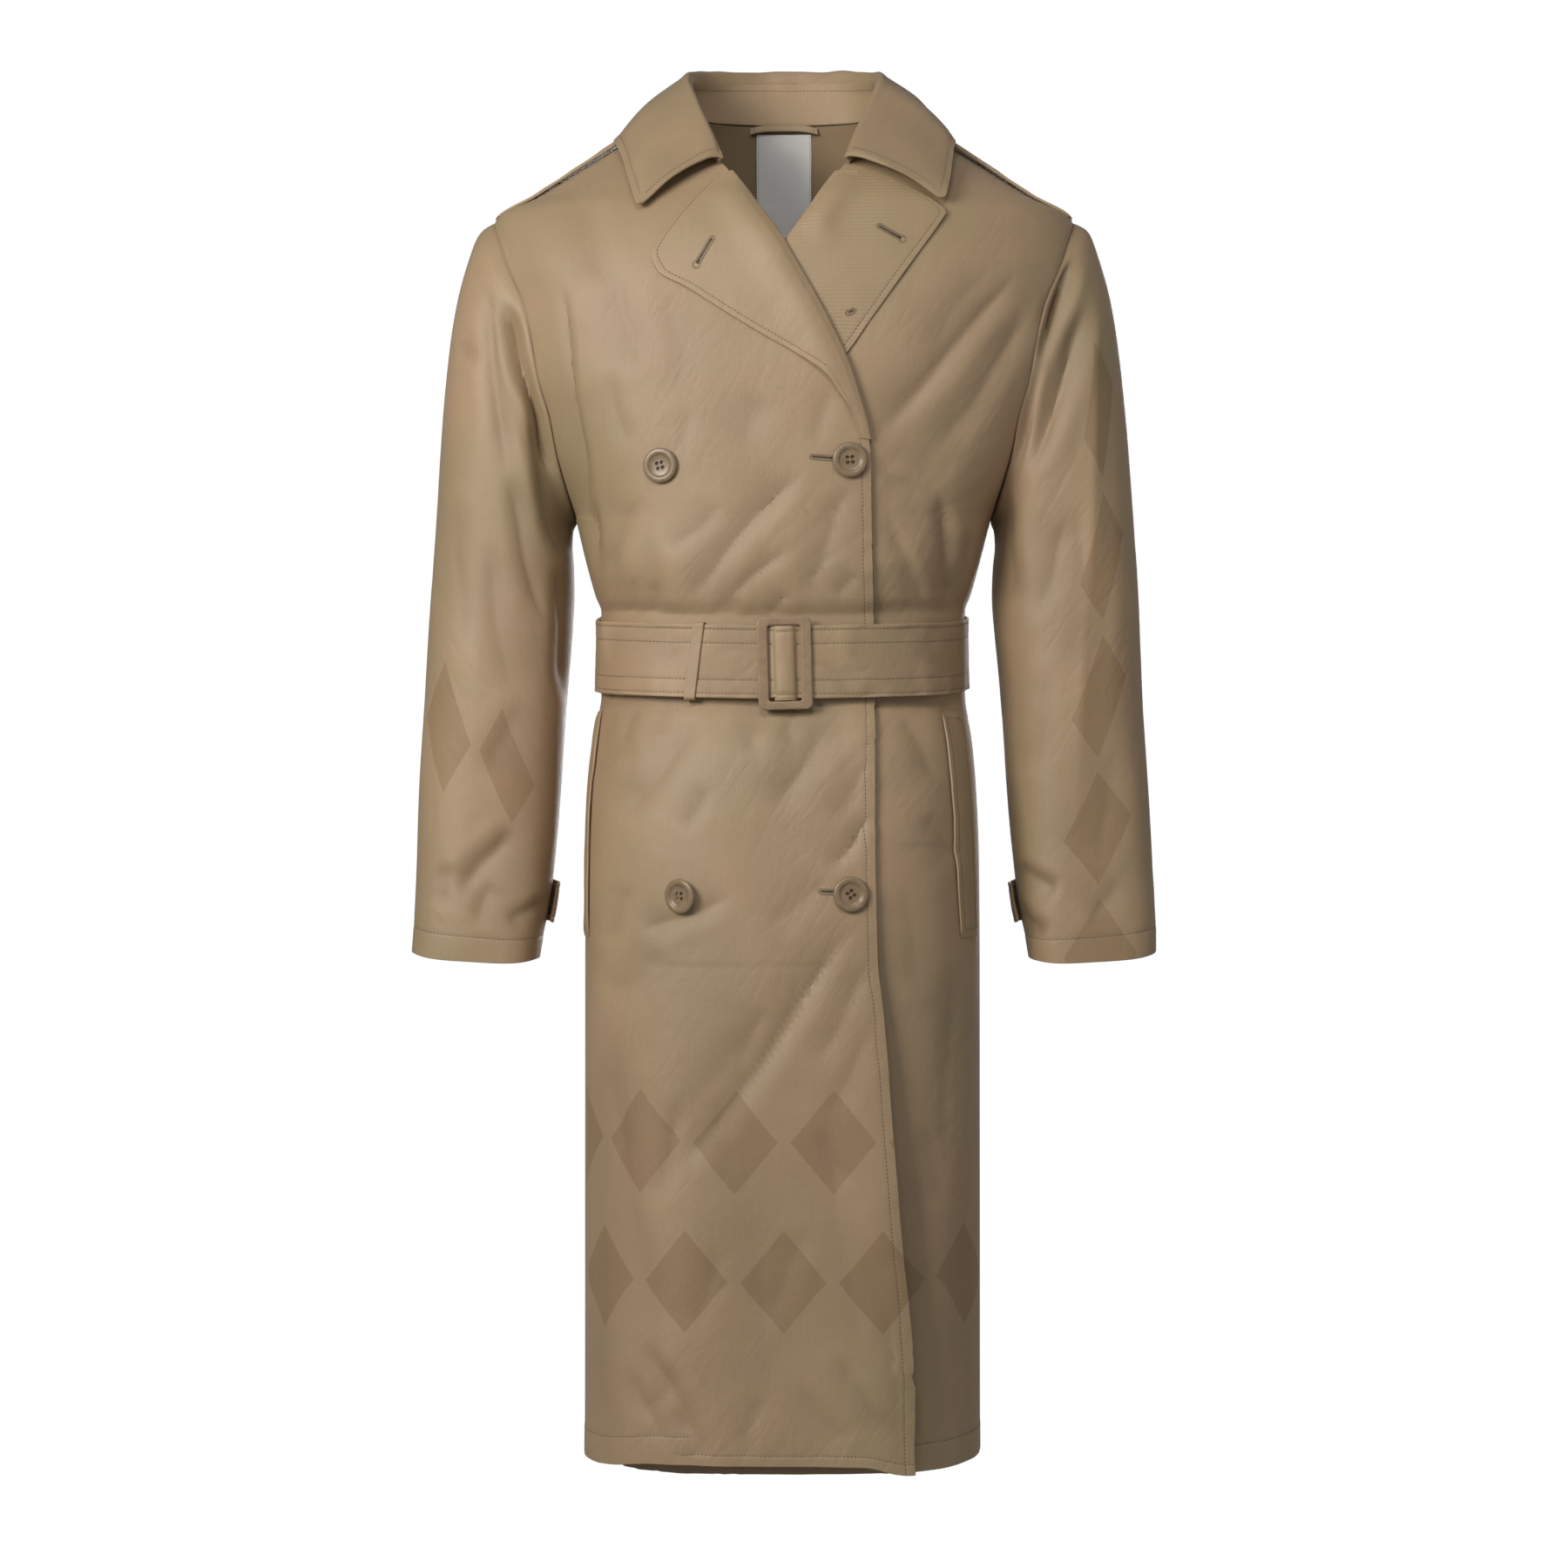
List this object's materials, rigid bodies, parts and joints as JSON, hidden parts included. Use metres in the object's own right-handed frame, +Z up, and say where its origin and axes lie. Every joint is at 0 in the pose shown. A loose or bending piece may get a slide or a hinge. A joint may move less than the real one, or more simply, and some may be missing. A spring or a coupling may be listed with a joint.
{
  "type": "trench coat",
  "caption": "Double-breasted trench coat in khaki gabardine, filled out and hollow, with a turned collar, epaulettes, cuff straps, slanting pocket welts and a belt with a slide buckle.",
  "frame": {"origin": "in the neck opening, level with the side neck points, where the wearer's neck and shoulders carry the coat", "axes": "+Z up, -Y the way the coat faces, +X towards the wearer's left side, the right of the picture"},
  "size_m": [0.6066, 0.3124, 1.1503],
  "materials": {
    "gabardine": "satin cotton gabardine, fine twill",
    "khaki_plastic": "semi-gloss moulded plastic",
    "label_weave": "woven tape, bare"
  },
  "bodies": {
    "root": {"back": "gabardine", "belt": "gabardine", "belt_buckle": "khaki_plastic", "belt_keeper": "gabardine", "button_chest_left": "khaki_plastic", "button_chest_right": "khaki_plastic", "button_cuff_left": "khaki_plastic", "button_cuff_right": "khaki_plastic", "button_epaulette_left": "khaki_plastic", "button_epaulette_right": "khaki_plastic", "button_skirt_left": "khaki_plastic", "button_skirt_right": "khaki_plastic", "button_waist_left": "khaki_plastic", "button_waist_right": "khaki_plastic", "collar_leaf": "gabardine", "collar_stand": "gabardine", "hanger_loop": "gabardine", "left_cuff_strap": "gabardine", "left_epaulette": "gabardine", "left_front": "gabardine", "left_lapel": "gabardine", "left_pocket_welt": "gabardine", "left_sleeve": "gabardine", "neck_label": "label_weave", "right_cuff_strap": "gabardine", "right_epaulette": "gabardine", "right_front": "gabardine", "right_lapel": "gabardine", "right_pocket_welt": "gabardine", "right_sleeve": "gabardine"}
  },
  "joints": []
}
